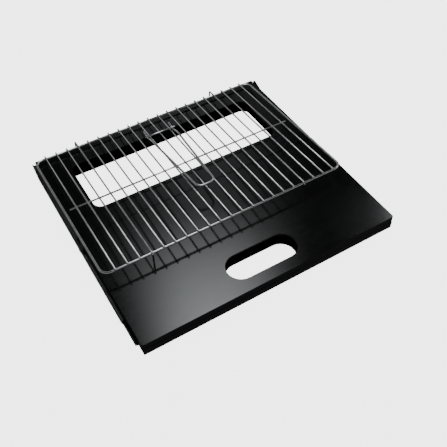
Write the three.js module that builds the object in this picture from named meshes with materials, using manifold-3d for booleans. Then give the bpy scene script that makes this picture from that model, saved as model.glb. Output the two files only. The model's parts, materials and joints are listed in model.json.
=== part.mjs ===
// Folding camp grill, folded flat, with its chrome cooking grate laid on top.
//
// Two sheet-metal panels cross at a pivot halfway along their sides, like scissors.
// The lid panel is the top sheet in front and the leg frame at the bottom behind.
// The tray panel is the bottom sheet in front and the leg frame at the top behind.
// Opened, the front halves make a trough for the charcoal and the leg frames stand
// on the ground as an X.
//
// Millimetres. +X is to the right, +Y to the back, +Z up. The origin is on the
// ground, straight below the pivot.

import * as THREE from 'three';
import { mergeVertices } from 'three/addons/utils/BufferGeometryUtils.js';
import Module from 'manifold-3d';

// ---- Driving dimensions ----

const GAP = 0.3;                 // left between two pieces that touch
const SHEET = 1.2;               // thickness of the pressed sheet
const HALF_DEPTH = 209;          // pivot to the front or the back edge
const HEIGHT = 26;               // folded thickness of the body
const PIVOT_Z = HEIGHT / 2;

// Layers across the width, as distances of a piece's outer side from the middle.
const LEG_TRAY_SIDE = 221.1;     // lip of the tray panel's leg frame
const LID_SIDE = 222.5;          // lip of the lid plate
const TRAY_SIDE = 224;           // flange of the tray plate
const INNER_ARM_SIDE = 225.5;    // tray panel's arm, and the flange of the lid panel's leg frame
const OUTER_ARM_SIDE = 226.9;    // lid panel's arm

// Seam between the front plates and the leg frames, by the pivot.
const LID_SEAM = 10.3;           // back edge of the lid plate
const TRAY_SEAM = 12;            // the other three edges keep this distance from the pivot
const LEG_LID_SEAM = -10.3;

const LID_LIP_Z = 15.5;          // lower edge of the lid plate's lips
const LID_CORNER = 4;            // its front corners, seen from above
const TRAY_LIP_Z = 14.5;         // top of the tray plate's front lip
const TRAY_FLANGE = { top: 13, front: -190, back: -30 };
const LEG_TRAY_LIP = { bottom: 13.5, front: 18 };
const LEG_LID_LIP_Z = 12;
const LEG_LID_FLANGE = { top: 11.5, front: 30, back: 180 };
const LEG_LID_NOTCH = { halfWidth: 208, front: 192 };

const WINDOW = { front: 53.5, back: 166, corner: 14, halfUpper: 174, halfLower: 180 };
const SLOT = { halfLength: 61, radius: 23.65, y: -164.75, collar: 3 };

const OUTER_ARM = { thickness: 1.1, front: -155, bottom: 1.5, top: 18.6, heel: 14, corner: 2 };
const INNER_ARM = { front: -190, bottom: 0.5, step: 13.2, low: 12, top: 20, boss: 10 };

const RIVET = { shaft: 3, head: 5.2, headHeight: 1.7, tail: 5, tailHeight: 0.5 };
const WASHER = { radius: 7, thickness: 0.4 };

const FOOT = { y: 203, z: 6.5, radius: 6.3, inner: 212, pin: 2.5, lobe: 5.5 };
const ARM_FLANGE = { sheet: 1.1, lidFront: -153, lidBack: -18, trayFront: 18, trayBack: 208 };

const RACK = {
  hinge: { y: -42.5, z: 5 }, length: 69.5, halfWidth: 214, sheet: 1.5, lip: 2.6, rod: 2,
  rodEnd: 219.5, slots: 17, slotPitch: 24.4, slotHalf: 4, slotFront: 62, slotBack: 12,
};
const LUG = { inner: 216.4, outer: 218, half: 4, top: 9 };

// Grate: it leans forwards a little, with its back wire on the leg frame and the
// bent ends of two long bars standing on the lid plate.
const GRATE = {
  x: -8.7, halfWidth: 214, front: -90.7, back: 198.7, backZ: 32.3, frontZ: 48.5,
  wire: 2, corner: 14, bar: 1.4, bars: 21, pitch: 19.5, overhang: 3, longBars: [4, 18],
};
const LONG_BAR = { footY: -94.5, footZ: HEIGHT + GAP, hookY: 211.5, hookDrop: 22, bend: 4 };
const CROSS_BAR = { y: 59, from: -214.5, to: 197 };
const HANDLE_BAR = { y: 149, from: -38, to: 21 };
const HANDLE = {
  wire: 1.8, left: -33, right: 16, tail: 16, knee: 19, rise: 16, endLeft: -24, endRight: 7,
  endY: -16, endHeight: 11.9, endBend: 11,
};

const TURN_STEPS = 6;            // segments in a quarter turn of a bent wire
const ROUND = 16;                // sides of a small round part
const FINE_ROUND = 28;           // sides of a round part that others turn on

// ---- Materials ----

function paint(color, roughness, metalness) {
  return () => new THREE.MeshStandardMaterial({ color, roughness, metalness });
}

const blackPaint = paint(0x0c0c0d, 0.35, 0.2);
const armPaint = paint(0x2b2b2d, 0.4, 0.3);
const chrome = paint(0xd6d8da, 0.15, 1);
const steel = paint(0xb4b6b8, 0.3, 1);
const enamel = paint(0x18181a, 0.6, 0.2);
const rubber = paint(0x0b0b0b, 0.9, 0);

// ---- Solids ----

const wasm = await Module();
wasm.setup();

function solid(geometry) {
  const bare = geometry.index ? geometry.clone() : geometry;
  bare.deleteAttribute('normal');
  bare.deleteAttribute('uv');
  const merged = mergeVertices(bare, 1e-4);
  return new wasm.Manifold(new wasm.Mesh({
    numProp: 3,
    vertProperties: new Float32Array(merged.attributes.position.array),
    triVerts: new Uint32Array(merged.index.array),
  }));
}

function toGeometry(manifold) {
  const mesh = manifold.getMesh();
  const geometry = new THREE.BufferGeometry();
  geometry.setAttribute('position', new THREE.BufferAttribute(mesh.vertProperties, 3));
  geometry.setIndex(new THREE.BufferAttribute(mesh.triVerts, 1));
  return geometry;
}

function join(...geometries) {
  return toGeometry(geometries.map(solid).reduce((whole, piece) => whole.add(piece)));
}

function cut(geometry, ...cutters) {
  return toGeometry(cutters.map(solid).reduce((left, piece) => left.subtract(piece), solid(geometry)));
}

function block([x0, x1], [y0, y1], [z0, z1]) {
  const geometry = new THREE.BoxGeometry(x1 - x0, y1 - y0, z1 - z0);
  return geometry.translate((x0 + x1) / 2, (y0 + y1) / 2, (z0 + z1) / 2);
}

// An outline seen from above, made into a plate between two heights.
function plate(outline, z0, z1, curveSegments = TURN_STEPS) {
  const geometry = new THREE.ExtrudeGeometry(outline, {
    depth: z1 - z0, bevelEnabled: false, curveSegments,
  });
  return geometry.translate(0, 0, z0);
}

// An outline seen from the right, drawn as (y, z), made into a plate between two distances.
function sidePlate(outline, x0, x1, curveSegments = TURN_STEPS) {
  const geometry = new THREE.ExtrudeGeometry(outline, {
    depth: x1 - x0, bevelEnabled: false, curveSegments,
  });
  const axes = new THREE.Matrix4().makeBasis(
    new THREE.Vector3(0, 1, 0), new THREE.Vector3(0, 0, 1), new THREE.Vector3(1, 0, 0));
  return geometry.translate(0, 0, x0).applyMatrix4(axes);
}

// A round bar along X.
function pin(radius, x0, x1, y, z, sides = ROUND) {
  const geometry = new THREE.CylinderGeometry(radius, radius, x1 - x0, sides);
  return geometry.rotateZ(-Math.PI / 2).translate((x0 + x1) / 2, y, z);
}

function roundedRectangle(halfWidth, y0, y1, r) {
  const shape = new THREE.Shape();
  shape.absarc(halfWidth - r, y1 - r, r, 0, Math.PI / 2);
  shape.absarc(-halfWidth + r, y1 - r, r, Math.PI / 2, Math.PI);
  shape.absarc(-halfWidth + r, y0 + r, r, Math.PI, 1.5 * Math.PI);
  shape.absarc(halfWidth - r, y0 + r, r, 1.5 * Math.PI, 2 * Math.PI);
  shape.closePath();
  return shape;
}

function stadium(halfLength, y, radius) {
  const shape = new THREE.Shape();
  const middle = halfLength - radius;
  shape.absarc(middle, y, radius, -Math.PI / 2, Math.PI / 2);
  shape.absarc(-middle, y, radius, Math.PI / 2, 1.5 * Math.PI);
  shape.closePath();
  return shape;
}

// ---- Wires ----

// A curve that a sweep visits corner by corner, so that straight stretches stay plain.
class BentPath extends THREE.Curve {
  constructor(points) {
    super();
    this.points = points;
  }

  indexAt(u) {
    return Math.round(u * (this.points.length - 1));
  }

  getPoint(u) {
    return this.points[this.indexAt(u)].clone();
  }

  getPointAt(u) {
    return this.getPoint(u);
  }

  getTangentAt(u) {
    const i = this.indexAt(u);
    const here = this.points[i];
    const before = this.points[Math.max(i - 1, 0)];
    const after = this.points[Math.min(i + 1, this.points.length - 1)];
    const arriving = here.clone().sub(before).normalize();
    const leaving = after.clone().sub(here).normalize();
    return arriving.add(leaving).normalize();
  }
}

// Points of an arc that rounds the corner at `corner` to the given bend radius.
function bend(before, corner, after, radius) {
  const arriving = corner.clone().sub(before).normalize();
  const leaving = after.clone().sub(corner).normalize();
  const turn = arriving.angleTo(leaving);
  const reach = radius * Math.tan(turn / 2);
  const start = corner.clone().addScaledVector(arriving, -reach);
  const inward = leaving.clone().addScaledVector(arriving, -leaving.dot(arriving)).normalize();
  const centre = start.clone().addScaledVector(inward, radius);
  const steps = Math.max(2, Math.ceil(TURN_STEPS * turn / (Math.PI / 2)));
  return Array.from({ length: steps + 1 }, (_, i) => {
    const angle = turn * i / steps;
    return centre.clone()
      .addScaledVector(inward, -radius * Math.cos(angle))
      .addScaledVector(arriving, radius * Math.sin(angle));
  });
}

// A round wire through points [x, y, z, bend radius]; the first and last have no bend.
function wire(radius, corners) {
  const places = corners.map(([x, y, z]) => new THREE.Vector3(x, y, z));
  const last = places.length - 1;
  const points = places.flatMap((place, i) => {
    const plain = i === 0 || i === last;
    return plain ? [place] : bend(places[i - 1], place, places[i + 1], corners[i][3]);
  });
  const section = new THREE.Shape();
  section.absarc(0, 0, radius, 0, 2 * Math.PI);
  return new THREE.ExtrudeGeometry(section, {
    steps: points.length - 1, extrudePath: new BentPath(points), curveSegments: 4,
  });
}

// ---- Assembly ----

const grill = new THREE.Group();

function add(name, geometry, material) {
  const mesh = new THREE.Mesh(geometry, material());
  mesh.name = name;
  grill.add(mesh);
}

// Builds the same piece on both sides from its shape on the right.
function addPair(name, geometry, material) {
  add(`${name}_right`, geometry, material);
  const mirrored = solid(geometry).mirror([1, 0, 0]);
  add(`${name}_left`, toGeometry(mirrored), material);
}

// ---- Lid panel ----

// Outline of the lid plate from above, or of the room inside its lips.
function lidOutline(halfWidth, front, back, r) {
  const shape = new THREE.Shape();
  shape.absarc(-halfWidth + r, front + r, r, Math.PI, 1.5 * Math.PI);
  shape.absarc(halfWidth - r, front + r, r, 1.5 * Math.PI, 2 * Math.PI);
  shape.lineTo(halfWidth, back);
  shape.lineTo(-halfWidth, back);
  shape.closePath();
  return shape;
}

function lidPlate() {
  const inside = lidOutline(LID_SIDE - SHEET, SHEET - HALF_DEPTH, LID_SEAM + SHEET, LID_CORNER - SHEET);
  const pan = cut(
    plate(lidOutline(LID_SIDE, -HALF_DEPTH, LID_SEAM, LID_CORNER), LID_LIP_Z, HEIGHT),
    plate(inside, 0, HEIGHT - SHEET),
  );
  const collarTop = HEIGHT - SHEET / 2;
  const collar = plate(
    stadium(SLOT.halfLength + SHEET, SLOT.y, SLOT.radius + SHEET), HEIGHT - SHEET - SLOT.collar, collarTop);
  return cut(join(pan, collar), plate(stadium(SLOT.halfLength, SLOT.y, SLOT.radius), 0, HEIGHT + SHEET));
}

function lidLegFrame() {
  const { front, back, top } = LEG_LID_FLANGE;
  const inside = INNER_ARM_SIDE - SHEET;
  const channel = cut(
    block([-INNER_ARM_SIDE, INNER_ARM_SIDE], [front, back], [0, top]),
    block([-inside, inside], [front - SHEET, back + SHEET], [SHEET, HEIGHT]),
  );
  const sheet = block([-TRAY_SIDE, TRAY_SIDE], [LEG_LID_SEAM, HALF_DEPTH], [0, SHEET]);
  const notchHalf = LEG_LID_NOTCH.halfWidth;
  const lip = block([-notchHalf, notchHalf], [HALF_DEPTH - SHEET, HALF_DEPTH], [0, LEG_LID_LIP_Z]);
  const notchDepth = [LEG_LID_NOTCH.front, HALF_DEPTH + SHEET];
  return cut(
    join(channel, sheet, lip),
    block([notchHalf, OUTER_ARM_SIDE], notchDepth, [-SHEET, HEIGHT]),
    block([-OUTER_ARM_SIDE, -notchHalf], notchDepth, [-SHEET, HEIGHT]),
    plate(roundedRectangle(WINDOW.halfLower, WINDOW.front, WINDOW.back, WINDOW.corner), -SHEET, HEIGHT),
  );
}

// The long side arm of the lid panel: straight, cut away below in front, with a flange on
// top that reaches the lid plate's lip, and a round toe at the back end that stands on the
// ground when the grill is open.
function outerArm() {
  const { thickness, front, bottom, top, heel, corner } = OUTER_ARM;
  const toeZ = HEIGHT - FOOT.z;
  const shape = new THREE.Shape();
  shape.absarc(front + heel, bottom + heel, heel, Math.PI, 1.5 * Math.PI);
  shape.lineTo(FOOT.y - 2 * FOOT.radius, bottom);
  shape.absarc(FOOT.y, toeZ, FOOT.radius, -Math.PI / 4, Math.PI / 2);
  shape.lineTo(FOOT.y - 3 * FOOT.radius, top);
  shape.absarc(front + corner, top - corner, corner, Math.PI / 2, Math.PI);
  shape.closePath();
  const web = sidePlate(shape, OUTER_ARM_SIDE - thickness, OUTER_ARM_SIDE);
  const flange = block(
    [LID_SIDE + GAP, OUTER_ARM_SIDE - thickness / 2], [ARM_FLANGE.lidFront, ARM_FLANGE.lidBack],
    [top - ARM_FLANGE.sheet, top]);
  return cut(join(web, flange), pivotHole());
}

function pivotHole() {
  return pin(RIVET.shaft + GAP, LID_SIDE, OUTER_ARM_SIDE + SHEET, 0, PIVOT_Z, FINE_ROUND);
}

// ---- Tray panel ----

function trayPlate() {
  const sheet = block([-TRAY_SIDE, TRAY_SIDE], [-HALF_DEPTH, -TRAY_SEAM], [0, SHEET]);
  const flange = (side) => block(
    [side - SHEET / 2, side + SHEET / 2], [TRAY_FLANGE.front, TRAY_FLANGE.back], [0, TRAY_FLANGE.top]);
  const flangeMiddle = TRAY_SIDE - SHEET / 2;
  const lip = block(
    [-LEG_TRAY_SIDE, LEG_TRAY_SIDE], [-HALF_DEPTH, SHEET - HALF_DEPTH], [0, TRAY_LIP_Z]);
  const cornerDepth = [-HALF_DEPTH - SHEET, TRAY_FLANGE.front];
  const collar = plate(
    stadium(SLOT.halfLength + SHEET, SLOT.y, SLOT.radius + SHEET), SHEET / 2, SHEET + SLOT.collar);
  const lug = (middle) => {
    const half = (LUG.outer - LUG.inner) / 2;
    return block(
      [middle - half, middle + half], [RACK.hinge.y - LUG.half, RACK.hinge.y + LUG.half], [0, LUG.top]);
  };
  const lugMiddle = (LUG.inner + LUG.outer) / 2;
  return cut(
    join(sheet, flange(flangeMiddle), flange(-flangeMiddle), lip, collar, lug(lugMiddle), lug(-lugMiddle)),
    block([LEG_TRAY_SIDE, OUTER_ARM_SIDE], cornerDepth, [-SHEET, HEIGHT]),
    block([-OUTER_ARM_SIDE, -LEG_TRAY_SIDE], cornerDepth, [-SHEET, HEIGHT]),
    plate(stadium(SLOT.halfLength, SLOT.y, SLOT.radius), -SHEET, HEIGHT),
    pin(RACK.rod + GAP, LUG.inner - SHEET, LUG.outer + SHEET, RACK.hinge.y, RACK.hinge.z),
    pin(RACK.rod + GAP, -LUG.outer - SHEET, -LUG.inner + SHEET, RACK.hinge.y, RACK.hinge.z),
  );
}

function trayLegFrame() {
  const inside = LEG_TRAY_SIDE - SHEET;
  return cut(
    block([-LEG_TRAY_SIDE, LEG_TRAY_SIDE], [TRAY_SEAM, HALF_DEPTH], [LEG_TRAY_LIP.bottom, HEIGHT]),
    block([-inside, inside], [0, HALF_DEPTH - SHEET], [0, HEIGHT - SHEET]),
    block([-LID_SIDE, LID_SIDE], [0, LEG_TRAY_LIP.front], [0, HEIGHT - SHEET]),
    plate(roundedRectangle(WINDOW.halfUpper, WINDOW.front, WINDOW.back, WINDOW.corner), 0, HEIGHT + SHEET),
  );
}

// The tray panel's side arm: low in front, high behind with a flange on top that reaches
// the leg frame's lip, a round boss at the pivot and a lobe round the foot at the back.
function innerArm() {
  const { front, bottom, step, low, top, boss } = INNER_ARM;
  const neck = LEG_LID_FLANGE.back + 2 * GAP;
  const shape = new THREE.Shape();
  shape.moveTo(front, bottom);
  shape.lineTo(0, bottom);
  shape.absarc(0, PIVOT_Z, boss, -Math.PI / 3, 0);
  shape.lineTo(boss + 2, low);
  shape.lineTo(neck, low);
  shape.lineTo(neck, FOOT.z);
  shape.absarc(FOOT.y, FOOT.z, FOOT.lobe, -2 * Math.PI / 3, 0);
  shape.lineTo(FOOT.y + FOOT.lobe, top);
  shape.lineTo(0, top);
  shape.absarc(0, PIVOT_Z, boss, 2 * Math.PI / 3, Math.PI);
  shape.lineTo(front, step);
  shape.closePath();
  const web = sidePlate(shape, INNER_ARM_SIDE - SHEET, INNER_ARM_SIDE);
  const flange = block(
    [LEG_TRAY_SIDE + GAP, INNER_ARM_SIDE - SHEET / 2], [ARM_FLANGE.trayFront, ARM_FLANGE.trayBack],
    [top - ARM_FLANGE.sheet, top]);
  const footHole = pin(FOOT.pin + GAP, LID_SIDE, OUTER_ARM_SIDE, FOOT.y, FOOT.z, FINE_ROUND);
  return cut(join(web, flange), pivotHole(), footHole);
}

// ---- Pivot and feet ----

// A solid of revolution about an axis along X, from points [radius, distance].
function turned(profile, y, z) {
  const points = profile.map(([radius, distance]) => new THREE.Vector2(radius, distance));
  const geometry = new THREE.LatheGeometry(points, FINE_ROUND);
  return geometry.rotateZ(-Math.PI / 2).translate(0, y, z);
}

function pivotRivet() {
  const { shaft, head, headHeight, tail, tailHeight } = RIVET;
  const inner = LID_SIDE + GAP;
  const under = OUTER_ARM_SIDE + GAP;
  return turned([
    [0, inner], [tail, inner], [tail, inner + tailHeight], [shaft, inner + tailHeight], [shaft, under],
    [head, under], [head, under + headHeight / 3], [0.7 * head, under + headHeight * 0.8],
    [0, under + headHeight],
  ], 0, PIVOT_Z);
}

function pivotWasher() {
  const outer = INNER_ARM_SIDE - SHEET - GAP;
  const disc = pin(WASHER.radius, outer - WASHER.thickness, outer, 0, PIVOT_Z, FINE_ROUND);
  return cut(disc, pivotHole());
}

function foot() {
  const pad = pin(FOOT.radius, FOOT.inner, TRAY_SIDE, FOOT.y, FOOT.z, FINE_ROUND);
  const shaft = pin(FOOT.pin, FOOT.inner, INNER_ARM_SIDE, FOOT.y, FOOT.z, FINE_ROUND);
  return join(pad, shaft);
}

// ---- Charcoal rack ----

function charcoalRack() {
  const { hinge, length, halfWidth, sheet, lip, rod, rodEnd, slots, slotPitch } = RACK;
  const low = hinge.z - sheet / 2;
  const high = hinge.z + sheet / 2;
  const tip = hinge.y - length;
  const sheetPlate = block([-halfWidth, halfWidth], [tip, hinge.y], [low, high]);
  const stiffener = block([-halfWidth, halfWidth], [tip, tip + SHEET], [low - lip, high]);
  const hingeRod = pin(rod, -rodEnd, rodEnd, hinge.y, hinge.z);
  const slotLength = RACK.slotFront - RACK.slotBack;
  const slotOutline = stadium(slotLength / 2, 0, RACK.slotHalf);
  const cutters = Array.from({ length: slots }, (_, i) => {
    const slot = plate(slotOutline, low - sheet, high + sheet, TURN_STEPS / 2).rotateZ(Math.PI / 2);
    return slot.translate((i - (slots - 1) / 2) * slotPitch, hinge.y - RACK.slotBack - slotLength / 2, 0);
  });
  return cut(join(sheetPlate, stiffener, hingeRod), ...cutters);
}

// ---- Grate ----

// Height of the middle of the frame wire at a distance y.
function grateLevel(y) {
  const slope = (GRATE.frontZ - GRATE.backZ) / (GRATE.back - GRATE.front);
  return GRATE.backZ + (GRATE.back - y) * slope;
}

const BAR_HEIGHT = GRATE.wire + GRATE.bar + GAP;
const CROSS_HEIGHT = BAR_HEIGHT - 2 * GRATE.bar - GAP;
const HANDLE_BAR_HEIGHT = BAR_HEIGHT + 2 * GRATE.bar + GAP;

// The frame wire starts and ends side by side under the middle bar at the back.
function grateFrame() {
  const { x, halfWidth, front, back, corner, wire: radius } = GRATE;
  const at = (px, py) => [px, py, grateLevel(py), corner];
  return wire(radius, [
    at(x + GAP, back), at(x + halfWidth, back), at(x + halfWidth, front),
    at(x - halfWidth, front), at(x - halfWidth, back), at(x - GAP, back),
  ]);
}

function straightBar(x) {
  const from = GRATE.back + GRATE.overhang;
  const to = GRATE.front - GRATE.overhang;
  return wire(GRATE.bar, [[x, from, grateLevel(from) + BAR_HEIGHT], [x, to, grateLevel(to) + BAR_HEIGHT]]);
}

// A long bar hooks over the back edge of the body and stands on the lid in front.
function longBar(x) {
  const { footY, footZ, hookY, hookDrop, bend: radius } = LONG_BAR;
  const hookZ = grateLevel(hookY) + BAR_HEIGHT;
  return wire(GRATE.bar, [
    [x, hookY, hookZ - hookDrop],
    [x, hookY, hookZ, radius],
    [x, footY, grateLevel(footY) + BAR_HEIGHT, radius],
    [x, footY, footZ],
  ]);
}

function levelBar({ y, from, to }, height) {
  const z = grateLevel(y) + height;
  return wire(GRATE.bar, [[from, y, z], [to, y, z]]);
}

// The handle's two arms pass under its bar, rise beyond it and meet in a U.
function grateHandle() {
  const { wire: radius, left, right, tail, knee, rise, endLeft, endRight, endY, endHeight, endBend } = HANDLE;
  const wrap = GRATE.bar + radius + GAP;
  const slope = Math.tan(THREE.MathUtils.degToRad(rise));
  const lowest = HANDLE_BAR_HEIGHT - wrap / Math.cos(THREE.MathUtils.degToRad(rise));
  const at = (x, y, height, bendRadius) => [x, y, grateLevel(y) + height, bendRadius];
  const arm = (x) => [
    at(x, HANDLE_BAR.y + tail, lowest + tail * slope),
    at(x, HANDLE_BAR.y, lowest, wrap),
    at(x, HANDLE_BAR.y - knee, lowest + knee * slope, 2 * endBend),
  ];
  return wire(radius, [
    ...arm(left), at(endLeft, endY, endHeight, endBend), at(endRight, endY, endHeight, endBend),
    ...arm(right).reverse(),
  ]);
}

function addGrate() {
  add('grate_frame', grateFrame(), chrome);
  for (let i = 1; i <= GRATE.bars; i += 1) {
    const x = GRATE.x + (i - (GRATE.bars + 1) / 2) * GRATE.pitch;
    const bar = GRATE.longBars.includes(i) ? longBar(x) : straightBar(x);
    add(`grate_bar_${String(i).padStart(2, '0')}`, bar, chrome);
  }
  add('grate_cross_bar', levelBar(CROSS_BAR, CROSS_HEIGHT), chrome);
  add('handle_bar', levelBar(HANDLE_BAR, HANDLE_BAR_HEIGHT), chrome);
  add('grate_handle', grateHandle(), chrome);
}

add('lid_plate', lidPlate(), blackPaint);
add('lid_leg_frame', lidLegFrame(), blackPaint);
addPair('outer_arm', outerArm(), armPaint);
add('tray_plate', trayPlate(), blackPaint);
add('tray_leg_frame', trayLegFrame(), blackPaint);
addPair('inner_arm', innerArm(), armPaint);
addPair('pivot_rivet', pivotRivet(), steel);
addPair('pivot_washer', pivotWasher(), steel);
addPair('foot', foot(), rubber);
add('charcoal_rack', charcoalRack(), enamel);
addGrate();

export default grill;
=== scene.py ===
"""Folding camp grill, folded flat with its chrome grate on top, on a plain pale floor."""

import json
import math

import bmesh
import bpy
from mathutils import Matrix, Vector


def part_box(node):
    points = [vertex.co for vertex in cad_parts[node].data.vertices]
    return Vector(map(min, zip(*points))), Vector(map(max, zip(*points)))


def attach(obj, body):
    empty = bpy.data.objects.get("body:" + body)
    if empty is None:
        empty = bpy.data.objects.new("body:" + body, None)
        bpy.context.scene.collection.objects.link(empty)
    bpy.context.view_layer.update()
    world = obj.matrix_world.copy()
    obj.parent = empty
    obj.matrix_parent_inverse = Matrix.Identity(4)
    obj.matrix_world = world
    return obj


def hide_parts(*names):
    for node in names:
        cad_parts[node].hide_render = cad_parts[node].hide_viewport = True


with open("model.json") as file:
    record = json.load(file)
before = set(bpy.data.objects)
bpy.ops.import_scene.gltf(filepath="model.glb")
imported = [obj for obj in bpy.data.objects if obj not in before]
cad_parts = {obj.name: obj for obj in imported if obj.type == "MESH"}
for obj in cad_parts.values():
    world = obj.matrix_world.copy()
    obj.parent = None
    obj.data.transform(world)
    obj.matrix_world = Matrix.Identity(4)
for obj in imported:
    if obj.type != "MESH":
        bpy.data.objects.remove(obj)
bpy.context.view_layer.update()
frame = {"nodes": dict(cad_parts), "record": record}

MM = 0.001
MERGE = 0.001 * MM           # points closer than this are one point
TOUCHING = 0.02 * MM         # coordinates closer than this count as equal

# ---- Driving sizes ----

CORNER_REACH = 4 * MM        # the lid plate's front corners are rounded over this much
FOLD_RADIUS = 1.4 * MM       # outside of a folded edge of the sheet
SLOT_RADIUS = 1.0 * MM       # rolled edge of an opening and of the seam by the pivot
CUT_RADIUS = 0.18 * MM       # a cut edge, softened by its paint
FOLD_STEPS = 4
CUT_STEPS = 2
RIM_MARGIN = 15 * MM         # an opening lies at least this far inside its sheet
SHARP = math.radians(30)
FLAT = math.radians(1)

FRAME_WIRE = 2.0 * MM
BAR_WIRE = 1.4 * MM
HANDLE_WIRE = 1.8 * MM
FRAME_CORNER = 14 * MM
LONG_BAR_BEND = 4 * MM
FOOT_CLEARANCE = 0.3 * MM    # long bar's foot above the lid plate
ARC_STEP = math.radians(7.5)
FEWEST_ARC_STEPS = 2
WIRE_ROUNDNESS = 6           # Blender gives a wire 4 sides and two more for each of these
END_STEPS = 5                # rings on the rounded end of a wire
END_ROUND = 0.7 * MM         # how far the rounding of a cut end reaches back
WELD_RADIUS = 1.5 * MM
WELD_LENGTH = 2.3 * MM

HANDLE_TAIL = 16 * MM
HANDLE_KNEE = 19 * MM
HANDLE_RISE = math.radians(16)
HANDLE_INSET = 9 * MM        # each arm's side step towards the U
HANDLE_END_BEND = 11 * MM
HANDLE_END_HEIGHT = 11.9 * MM


# ---- Materials ----

# Waves per metre of each finish's noise.
MOTTLE = 38
RUB_MARKS = 60
ORANGE_PEEL = 520
CLOUD = 90
HAZE = 240
DRAWING_MARKS = 130
RUBBER_GRAIN = 700

RUB_STRETCH = (1, 7, 1)
FINE_RELIEF = 0.05 * MM
DRAWN_RELIEF = 0.3 * MM
PAINT_IOR = 1.5
RUBBER_GREY = (0.006, 0.014)
RUBBER_ROUGHNESS = (0.7, 0.9)
RUBBER_BUMP = 0.4
STAGE_GREY = (0.35, 0.35, 0.35, 1)
STAGE_ROUGHNESS = 0.9
WHITE = (1, 1, 1, 1)


def shader(name):
    material = bpy.data.materials.new(name)
    material.use_nodes = True
    return material, material.node_tree.nodes, material.node_tree.links


def noise(nodes, links, scale, detail=3.0, stretch=(1, 1, 1)):
    """Noise in the object's own metres, `scale` waves to the metre."""
    place = nodes.new("ShaderNodeTexCoord")
    mapping = nodes.new("ShaderNodeMapping")
    mapping.inputs["Scale"].default_value = stretch
    texture = nodes.new("ShaderNodeTexNoise")
    texture.inputs["Scale"].default_value = scale
    texture.inputs["Detail"].default_value = detail
    links.new(place.outputs["Object"], mapping.inputs["Vector"])
    links.new(mapping.outputs["Vector"], texture.inputs["Vector"])
    return texture.outputs["Fac"]


def ramp(nodes, links, source, low, high, start=0.35, end=0.65):
    """Maps noise to a range of greys or colours."""
    node = nodes.new("ShaderNodeValToRGB")
    for element, place, value in zip(node.color_ramp.elements, (start, end), (low, high)):
        element.position = place
        element.color = value if isinstance(value, tuple) else (value, value, value, 1)
    links.new(source, node.inputs["Fac"])
    return node.outputs["Color"]


def bumped(nodes, links, height, strength, distance):
    node = nodes.new("ShaderNodeBump")
    node.inputs["Strength"].default_value = strength
    node.inputs["Distance"].default_value = distance
    links.new(height, node.inputs["Height"])
    return node.outputs["Normal"]


def paint(name, dark, light, rough_low, rough_high, peel=0.06):
    """Sprayed paint: faint mottling, uneven gloss, fine rub marks and orange peel."""
    material, nodes, links = shader(name)
    surface = nodes["Principled BSDF"]
    mottle = noise(nodes, links, MOTTLE)
    links.new(ramp(nodes, links, mottle, dark, light), surface.inputs["Base Color"])
    rubbed = noise(nodes, links, RUB_MARKS, detail=5.0, stretch=RUB_STRETCH)
    links.new(ramp(nodes, links, rubbed, rough_low, rough_high), surface.inputs["Roughness"])
    orange_peel = noise(nodes, links, ORANGE_PEEL, detail=2.0)
    links.new(bumped(nodes, links, orange_peel, peel, FINE_RELIEF), surface.inputs["Normal"])
    surface.inputs["IOR"].default_value = PAINT_IOR
    return material


def metal(name, dark, light, rough_low, rough_high, ripple):
    """Plated or bare metal: slightly cloudy, with the ripple that drawing leaves on wire."""
    material, nodes, links = shader(name)
    surface = nodes["Principled BSDF"]
    surface.inputs["Metallic"].default_value = 1.0
    cloud = noise(nodes, links, CLOUD)
    links.new(ramp(nodes, links, cloud, dark, light), surface.inputs["Base Color"])
    haze = noise(nodes, links, HAZE, detail=4.0)
    links.new(ramp(nodes, links, haze, rough_low, rough_high), surface.inputs["Roughness"])
    drawn = noise(nodes, links, DRAWING_MARKS)
    links.new(bumped(nodes, links, drawn, ripple, DRAWN_RELIEF), surface.inputs["Normal"])
    return material


def soft_rubber():
    material, nodes, links = shader("rubber")
    surface = nodes["Principled BSDF"]
    grain = noise(nodes, links, RUBBER_GRAIN, detail=4.0)
    links.new(ramp(nodes, links, grain, *RUBBER_GREY), surface.inputs["Base Color"])
    links.new(ramp(nodes, links, grain, *RUBBER_ROUGHNESS), surface.inputs["Roughness"])
    links.new(bumped(nodes, links, grain, RUBBER_BUMP, FINE_RELIEF), surface.inputs["Normal"])
    return material


def glowing_sheet(name, glow):
    """A pale sheet with an even glow of its own."""
    material, nodes, links = shader(name)
    surface = nodes["Principled BSDF"]
    surface.inputs["Base Color"].default_value = STAGE_GREY
    surface.inputs["Emission Color"].default_value = WHITE
    surface.inputs["Emission Strength"].default_value = glow
    surface.inputs["Roughness"].default_value = STAGE_ROUGHNESS
    return material


# Dark and light colour, least and most roughness, and for some the strength of the relief.
PAINTS = {
    "black_paint": ((0.0035, 0.0037, 0.004, 1), (0.006, 0.0062, 0.0066, 1), 0.1, 0.15),
    # The arms' lighter grey is painted sheen: it stands in for the pale light their upright faces catch,
    # so they show lighter than the black sheets beside them.
    "arm_paint": ((0.036, 0.038, 0.04, 1), (0.05, 0.052, 0.055, 1), 0.3, 0.42),
    "rack_paint": ((0.009, 0.009, 0.009, 1), (0.016, 0.016, 0.016, 1), 0.5, 0.68, 0.5),
}
METALS = {
    "chrome": ((0.66, 0.67, 0.68, 1), (0.86, 0.87, 0.88, 1), 0.07, 0.16, 0.05),
    "steel": ((0.5, 0.5, 0.51, 1), (0.68, 0.68, 0.69, 1), 0.2, 0.34, 0.12),
}
MATERIALS = {
    **{name: paint(name, *look) for name, look in PAINTS.items()},
    **{name: metal(name, *look) for name, look in METALS.items()},
    "rubber": soft_rubber(),
}


# ---- Pieces ----

def body_of(node):
    bodies = frame["record"]["behaviour"]["bodies"]
    return next(body for body, nodes in bodies.items() if node in nodes)


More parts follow.
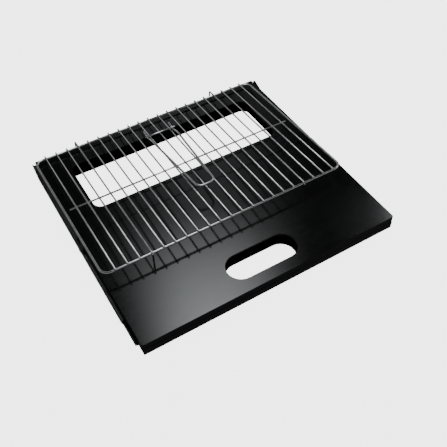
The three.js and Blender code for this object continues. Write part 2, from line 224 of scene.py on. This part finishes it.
def show(bm, node, slot):
    """Puts a finished mesh in a CAD node's place, on its body and in its material."""
    mesh = bpy.data.meshes.new(f"{node}_look")
    bm.normal_update()
    bm.to_mesh(mesh)
    bm.free()
    mesh.materials.append(MATERIALS[slot])
    mesh.shade_smooth()
    piece = bpy.data.objects.new(f"{node}_look", mesh)
    bpy.context.collection.objects.link(piece)
    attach(piece, body_of(node))
    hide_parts(node)
    return piece


def keep_faces_flat(piece):
    """Lets the rounded edges carry the shading, so that flat faces look flat."""
    modifier = piece.modifiers.new("flat_faces", "WEIGHTED_NORMAL")
    modifier.keep_sharp = True


def round_edges(bm, edges, radius, steps):
    bmesh.ops.bevel(
        bm, geom=edges, offset=radius, segments=steps, profile=0.5, affect="EDGES", clamp_overlap=True)


def sharp_edges(bm):
    return [edge for edge in bm.edges if edge.is_manifold and abs(edge.calc_face_angle(0)) > SHARP]


def plain_mesh(node):
    """A copy of a CAD node's mesh with whole faces instead of triangles."""
    bm = bmesh.new()
    bm.from_mesh(frame["nodes"][node].data)
    bmesh.ops.remove_doubles(bm, verts=bm.verts, dist=MERGE)
    bmesh.ops.dissolve_limit(bm, angle_limit=FLAT, verts=bm.verts, edges=bm.edges)
    return bm


def pressed(node, slot, is_fold=None, is_rolled=None):
    """Sheet metal: wide rounds on folds, rolled openings, and small ones on cut edges."""
    bm = plain_mesh(node)
    for wanted, radius in ((is_fold, FOLD_RADIUS), (is_rolled, SLOT_RADIUS)):
        if wanted:
            chosen = [edge for edge in sharp_edges(bm) if wanted(edge)]
            round_edges(bm, chosen, radius, FOLD_STEPS)
    round_edges(bm, sharp_edges(bm), CUT_RADIUS, CUT_STEPS)
    keep_faces_flat(show(bm, node, slot))


def both_ends(edge, test):
    return all(test(vert.co) for vert in edge.verts)


def near(value, target):
    return abs(value - target) < TOUCHING


def outer_folds(node, level, fold_at_back):
    """Test for the folded edges round a sheet's rim: its two sides, its end and rounded corners."""
    lo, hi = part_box(node)
    end = hi.y if fold_at_back else lo.y
    height = hi.z if level == "top" else lo.z

    def in_corner(co):
        reach = CORNER_REACH + TOUCHING
        return min(co.x - lo.x, hi.x - co.x) < reach and abs(co.y - end) < reach

    def test(edge):
        if not both_ends(edge, lambda co: near(co.z, height)):
            return False
        sides = any(both_ends(edge, lambda co, x=x: near(co.x, x)) for x in (lo.x, hi.x))
        return sides or both_ends(edge, lambda co: near(co.y, end)) or both_ends(edge, in_corner)

    return test


def rolled_edges(node, level, seam_at_back):
    """Test for the outer edges round an opening in a sheet and along its seam by the pivot."""
    lo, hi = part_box(node)
    height = hi.z if level == "top" else lo.z
    seam = hi.y if seam_at_back else lo.y

    def inside(co):
        clear_x = lo.x + RIM_MARGIN < co.x < hi.x - RIM_MARGIN
        clear_y = lo.y + RIM_MARGIN < co.y < hi.y - RIM_MARGIN
        return near(co.z, height) and clear_x and clear_y

    def on_seam(co):
        return near(co.z, height) and near(co.y, seam)

    return lambda edge: both_ends(edge, inside) or both_ends(edge, on_seam)


# ---- Wires ----

def arc_points(before, corner, after, radius):
    """Points that round a corner of a wire to a bend radius."""
    arriving = (corner - before).normalized()
    leaving = (after - corner).normalized()
    turn = arriving.angle(leaving)
    start = corner - arriving * radius * math.tan(turn / 2)
    inward = (leaving - arriving * leaving.dot(arriving)).normalized()
    centre = start + inward * radius
    steps = max(FEWEST_ARC_STEPS, math.ceil(turn / ARC_STEP))
    angles = [turn * i / steps for i in range(steps + 1)]
    return [centre - inward * radius * math.cos(a) + arriving * radius * math.sin(a) for a in angles]


def wire_points(corners):
    """The middle line through (point, bend radius) pairs."""
    places = [Vector(place) for place, _ in corners]
    points = [places[0]]
    for i in range(1, len(places) - 1):
        points += arc_points(places[i - 1], places[i], places[i + 1], corners[i][1])
    return points + [places[-1]]


def end_points(tip, inner):
    """Rings that round off a cut end: (point, share of the radius), tip first."""
    along = (inner - tip).normalized()
    shares = [i / END_STEPS for i in range(1, END_STEPS + 1)]
    return [(tip + along * END_ROUND * (1 - math.sqrt(1 - s * s)), s) for s in shares]


def wire(corners, radius):
    """A mesh of a round wire with softened ends."""
    middle = wire_points(corners)
    first = end_points(middle[0], middle[1])
    last = end_points(middle[-1], middle[-2])
    rings = first + [(point, 1.0) for point in middle[1:-1]] + last[::-1]
    curve = bpy.data.curves.new("wire", "CURVE")
    curve.dimensions = "3D"
    curve.bevel_depth = radius
    curve.bevel_resolution = WIRE_ROUNDNESS
    curve.use_fill_caps = True
    spline = curve.splines.new("POLY")
    spline.points.add(len(rings) - 1)
    for target, (point, share) in zip(spline.points, rings):
        target.co = (*point, 1)
        target.radius = share
    holder = bpy.data.objects.new("wire", curve)
    bm = bmesh.new()
    mesh = bpy.data.meshes.new_from_object(holder)
    bm.from_mesh(mesh)
    bpy.data.objects.remove(holder)
    bpy.data.curves.remove(curve)
    bpy.data.meshes.remove(mesh)
    return bm


def add_weld(bm, place):
    """The small fillet of metal where two wires were welded."""
    shape = Matrix.Translation(place) @ Matrix.Diagonal((WELD_RADIUS, WELD_LENGTH, WELD_RADIUS, 1))
    bmesh.ops.create_icosphere(bm, subdivisions=2, radius=1, matrix=shape)


def frame_level(y):
    """Height of the middle of the frame wire at a distance y."""
    lo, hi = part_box("grate_frame")
    front_z = hi.z - FRAME_WIRE
    back_z = lo.z + FRAME_WIRE
    share = (y - lo.y - FRAME_WIRE) / (hi.y - lo.y - 2 * FRAME_WIRE)
    return front_z + (back_z - front_z) * share


def grate_frame():
    lo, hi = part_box("grate_frame")
    left, right = lo.x + FRAME_WIRE, hi.x - FRAME_WIRE
    front, back = lo.y + FRAME_WIRE, hi.y - FRAME_WIRE
    middle = (left + right) / 2
    corners = [(middle, back), (right, back), (right, front), (left, front), (left, back), (middle, back)]
    path = [((x, y, frame_level(y)), FRAME_CORNER) for x, y in corners]
    bm = wire(path, FRAME_WIRE)
    add_weld(bm, Vector((middle, back, frame_level(back))))
    show(bm, "grate_frame", "chrome")


def weld_places(x):
    """Where a bar at x crosses the frame's front and back wires."""
    lo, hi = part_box("grate_frame")
    for y in (lo.y + FRAME_WIRE, hi.y - FRAME_WIRE):
        yield Vector((x, y, frame_level(y) + FRAME_WIRE))


def straight_bar(node):
    lo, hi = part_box(node)
    x = (lo.x + hi.x) / 2
    bm = wire([((x, hi.y, lo.z + BAR_WIRE), 0), ((x, lo.y, hi.z - BAR_WIRE), 0)], BAR_WIRE)
    for place in weld_places(x):
        add_weld(bm, place)
    show(bm, node, "chrome")


def long_bar(node):
    """A bar that hooks over the back edge and stands on the lid in front."""
    lo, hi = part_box(node)
    x = (lo.x + hi.x) / 2
    foot_y, hook_y = lo.y + BAR_WIRE, hi.y - BAR_WIRE
    front_z = hi.z - BAR_WIRE
    back_z = front_z + frame_level(hook_y) - frame_level(foot_y)
    foot_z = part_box("lid_plate")[1].z + FOOT_CLEARANCE
    path = [
        ((x, hook_y, lo.z), 0),
        ((x, hook_y, back_z), LONG_BAR_BEND),
        ((x, foot_y, front_z), LONG_BAR_BEND),
        ((x, foot_y, foot_z), 0),
    ]
    bm = wire(path, BAR_WIRE)
    for place in weld_places(x):
        add_weld(bm, place)
    show(bm, node, "chrome")


def level_bar(node):
    lo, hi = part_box(node)
    y, z = (lo.y + hi.y) / 2, (lo.z + hi.z) / 2
    show(wire([((lo.x, y, z), 0), ((hi.x, y, z), 0)], BAR_WIRE), node, "chrome")


def grate_handle():
    """Two arms that pass under the handle bar, rise beyond it and meet in a U."""
    lo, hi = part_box("grate_handle")
    bar_lo, bar_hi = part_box("handle_bar")
    bar_y, bar_z = (bar_lo.y + bar_hi.y) / 2, (bar_lo.z + bar_hi.z) / 2
    wrap = BAR_WIRE + HANDLE_WIRE + FOOT_CLEARANCE
    low = bar_z - frame_level(bar_y) - wrap / math.cos(HANDLE_RISE)
    slope = math.tan(HANDLE_RISE)

    def at(x, y, height, bend):
        return ((x, y, frame_level(y) + height), bend)

    def arm(x):
        return [
            at(x, bar_y + HANDLE_TAIL, low + HANDLE_TAIL * slope, 0),
            at(x, bar_y, low, wrap),
            at(x, bar_y - HANDLE_KNEE, low + HANDLE_KNEE * slope, 2 * HANDLE_END_BEND),
        ]

    left, right = lo.x + HANDLE_WIRE, hi.x - HANDLE_WIRE
    end_y = lo.y + HANDLE_WIRE
    ends = [
        at(left + HANDLE_INSET, end_y, HANDLE_END_HEIGHT, HANDLE_END_BEND),
        at(right - HANDLE_INSET, end_y, HANDLE_END_HEIGHT, HANDLE_END_BEND),
    ]
    show(wire(arm(left) + ends + arm(right)[::-1], HANDLE_WIRE), "grate_handle", "chrome")


# ---- Build ----

LONG_BARS = ("grate_bar_04", "grate_bar_18")
STRAIGHT_BARS = [
    node for node in sorted(frame["nodes"]) if node.startswith("grate_bar_") and node not in LONG_BARS]
SIDES = ("left", "right")
SHEETS = (
    ("lid_plate", "top", False),
    ("tray_leg_frame", "top", True),
    ("tray_plate", "bottom", False),
    ("lid_leg_frame", "bottom", True),
)


def add_panels():
    for node, level, fold_at_back in SHEETS:
        folds = outer_folds(node, level, fold_at_back)
        rolled = rolled_edges(node, level, not fold_at_back)
        pressed(node, "black_paint", folds, rolled)
    pressed("charcoal_rack", "rack_paint")


def add_side_parts():
    for side in SIDES:
        # The arms take the lighter grey with painted sheen.
        pressed(f"outer_arm_{side}", "arm_paint")
        pressed(f"inner_arm_{side}", "arm_paint")
        pressed(f"foot_{side}", "rubber")
        pressed(f"pivot_washer_{side}", "steel")
        pressed(f"pivot_rivet_{side}", "steel")


def add_grate():
    grate_frame()
    for node in STRAIGHT_BARS:
        straight_bar(node)
    for node in LONG_BARS:
        long_bar(node)
    level_bar("grate_cross_bar")
    level_bar("handle_bar")
    grate_handle()


add_panels()
add_side_parts()
add_grate()


# ---- Camera ----

CAMERA_AT = (-0.3361, -0.6230, 0.7620)
CAMERA_TOWARDS = (0.3398, 0.5546, -0.7596)
LENS_MM = 49.62
SENSOR_MM = 36.0
SHIFT_X = -0.0158


def add_camera():
    data = bpy.data.cameras.new("camera")
    data.lens = LENS_MM
    data.sensor_width = SENSOR_MM
    data.shift_x = SHIFT_X
    camera = bpy.data.objects.new("camera", data)
    camera.location = CAMERA_AT
    camera.rotation_euler = Vector(CAMERA_TOWARDS).to_track_quat("-Z", "Y").to_euler()
    bpy.context.collection.objects.link(camera)
    bpy.context.scene.camera = camera


# ---- Floor and light ----

SWEEP_RADIUS = 5.0
SWEEP_BEND = 1.2
SWEEP_HEIGHT = 2.4
SWEEP_SIDES = 64
SWEEP_STEPS = 8
DARK_ROOM = 0.06
FLOOR_GLOW = 4.0
RING_GLOW = 0.3

# Softboxes that face down: middle (m), width and length at half brightness, turn from +Y
# towards +X, radiance at the front rim, radiance from the middle on back.
CEILING = 1.526              # height of the softboxes
BOX_FADE = 0.5               # width of the soft rim of a softbox
BOX_FLARE = 0.45             # a softbox's gain in width over a metre of its length
CLOTH_SPREAD = 1.6           # its cloth is this much wider, so that the flare fits on it
CLOTH_GLIMMER = 0.04         # radiance of the cloth beyond its lit part
SOFTBOXES = {
    "long_softbox": ((0.57, 1.15), (0.62, 1.9), math.radians(22), 11.8, 0.45),
    "corner_softbox": ((1.5, 0.48), (0.5, 0.44), 0.0, 5.2, 5.2),
}
COOL_WHITE = (0.95, 0.99, 1.0, 1)


def fading(nodes, links, coordinate, reach):
    """One in the middle of a softbox and nothing at its rim, across one direction."""
    distance = nodes.new("ShaderNodeMath")
    distance.operation = "ABSOLUTE"
    links.new(coordinate, distance.inputs[0])
    fade = nodes.new("ShaderNodeMapRange")
    fade.interpolation_type = "SMOOTHSTEP"
    fade.inputs["From Min"].default_value = reach
    fade.inputs["From Max"].default_value = reach - min(BOX_FADE, reach)
    links.new(distance.outputs[0], fade.inputs["Value"])
    return fade.outputs["Result"]


def flared(nodes, links, across, along):
    """Distance from a softbox's axis, as if its sides ran parallel."""
    widening = nodes.new("ShaderNodeMath")
    widening.operation = "MULTIPLY_ADD"
    widening.inputs[1].default_value = BOX_FLARE
    widening.inputs[2].default_value = 1.0
    links.new(along, widening.inputs[0])
    straight = nodes.new("ShaderNodeMath")
    straight.operation = "DIVIDE"
    links.new(across, straight.inputs[0])
    links.new(widening.outputs[0], straight.inputs[1])
    return straight.outputs[0]


def dimming(nodes, links, coordinate, reach_y, front, back):
    """Radiance along a softbox, from its front rim to its middle and on."""
    along = nodes.new("ShaderNodeMapRange")
    along.inputs["From Min"].default_value = -reach_y
    along.inputs["From Max"].default_value = 0
    along.inputs["To Min"].default_value = front
    along.inputs["To Max"].default_value = back
    links.new(coordinate, along.inputs["Value"])
    return along.outputs["Result"]


def product(nodes, links, first, second, extra=0.0):
    """first * second + extra."""
    node = nodes.new("ShaderNodeMath")
    node.operation = "MULTIPLY_ADD"
    node.inputs[2].default_value = extra
    links.new(first, node.inputs[0])
    links.new(second, node.inputs[1])
    return node.outputs[0]


def softbox_cloth(name, reach_x, reach_y, front, back):
    material, nodes, links = shader(name)
    nodes.clear()
    place = nodes.new("ShaderNodeTexCoord")
    split = nodes.new("ShaderNodeSeparateXYZ")
    links.new(place.outputs["Object"], split.inputs["Vector"])
    from_axis = flared(nodes, links, split.outputs["X"], split.outputs["Y"])
    across = fading(nodes, links, from_axis, reach_x)
    along = fading(nodes, links, split.outputs["Y"], reach_y)
    radiance = dimming(nodes, links, split.outputs["Y"], reach_y, front, back)
    glow = nodes.new("ShaderNodeEmission")
    glow.inputs["Color"].default_value = COOL_WHITE
    faded = product(nodes, links, across, along)
    links.new(product(nodes, links, faded, radiance, CLOTH_GLIMMER), glow.inputs["Strength"])
    output = nodes.new("ShaderNodeOutputMaterial")
    links.new(glow.outputs[0], output.inputs["Surface"])
    return material


def add_softbox(name, middle, size, turn, front, back):
    reach_x, reach_y = ((side + BOX_FADE) / 2 for side in size)
    half = reach_x * CLOTH_SPREAD
    corners = [(-half, -reach_y, 0), (-half, reach_y, 0), (half, reach_y, 0), (half, -reach_y, 0)]
    mesh = bpy.data.meshes.new(name)
    mesh.from_pydata(corners, [], [(0, 1, 2, 3)])
    mesh.materials.append(softbox_cloth(name, reach_x, reach_y, front, back))
    box = bpy.data.objects.new(name, mesh)
    box.location = (*middle, CEILING)
    box.rotation_euler = (0, 0, -turn)
    box.visible_camera = False
    bpy.context.collection.objects.link(box)


def add_stage(name, profile, glow, reflector):
    """A round sheet of the studio, spun from (radius, height) points.

    A reflector lights the object and shows in its gloss; the other sheets are only seen directly.
    """
    bm = bmesh.new()
    line = [bm.verts.new((r, 0, z)) for r, z in profile]
    edges = [bm.edges.new(pair) for pair in zip(line, line[1:])]
    bmesh.ops.spin(
        bm, geom=line + edges, cent=(0, 0, 0), axis=(0, 0, 1), angle=2 * math.pi, steps=SWEEP_SIDES,
        use_merge=True)
    bmesh.ops.remove_doubles(bm, verts=bm.verts, dist=MERGE)
    mesh = bpy.data.meshes.new(name)
    bm.to_mesh(mesh)
    bm.free()
    mesh.shade_smooth()
    mesh.materials.append(glowing_sheet(name, glow))
    sheet = bpy.data.objects.new(name, mesh)
    bpy.context.collection.objects.link(sheet)
    sheet.visible_camera = not reflector
    sheet.visible_glossy = reflector
    sheet.visible_diffuse = reflector


def add_sweep():
    """The floor with its curved backdrop, and the dimmer ring that shows in the object's gloss."""
    angles = [math.pi / 2 * i / SWEEP_STEPS for i in range(SWEEP_STEPS + 1)]
    bend = [(SWEEP_RADIUS + SWEEP_BEND * math.sin(a), SWEEP_BEND * (1 - math.cos(a))) for a in angles]
    rim = bend + [(SWEEP_RADIUS + SWEEP_BEND, SWEEP_HEIGHT)]
    ring = [(radius - SWEEP_BEND, height) for radius, height in rim]
    add_stage("floor", [(0, 0)] + rim, FLOOR_GLOW, reflector=False)
    add_stage("reflector", ring, RING_GLOW, reflector=True)


def darken_room():
    world = bpy.data.worlds.new("world")
    world.use_nodes = True
    background = world.node_tree.nodes["Background"]
    background.inputs["Color"].default_value = WHITE
    background.inputs["Strength"].default_value = DARK_ROOM
    bpy.context.scene.world = world


add_camera()
add_sweep()
darken_room()
for name, settings in SOFTBOXES.items():
    add_softbox(name, *settings)
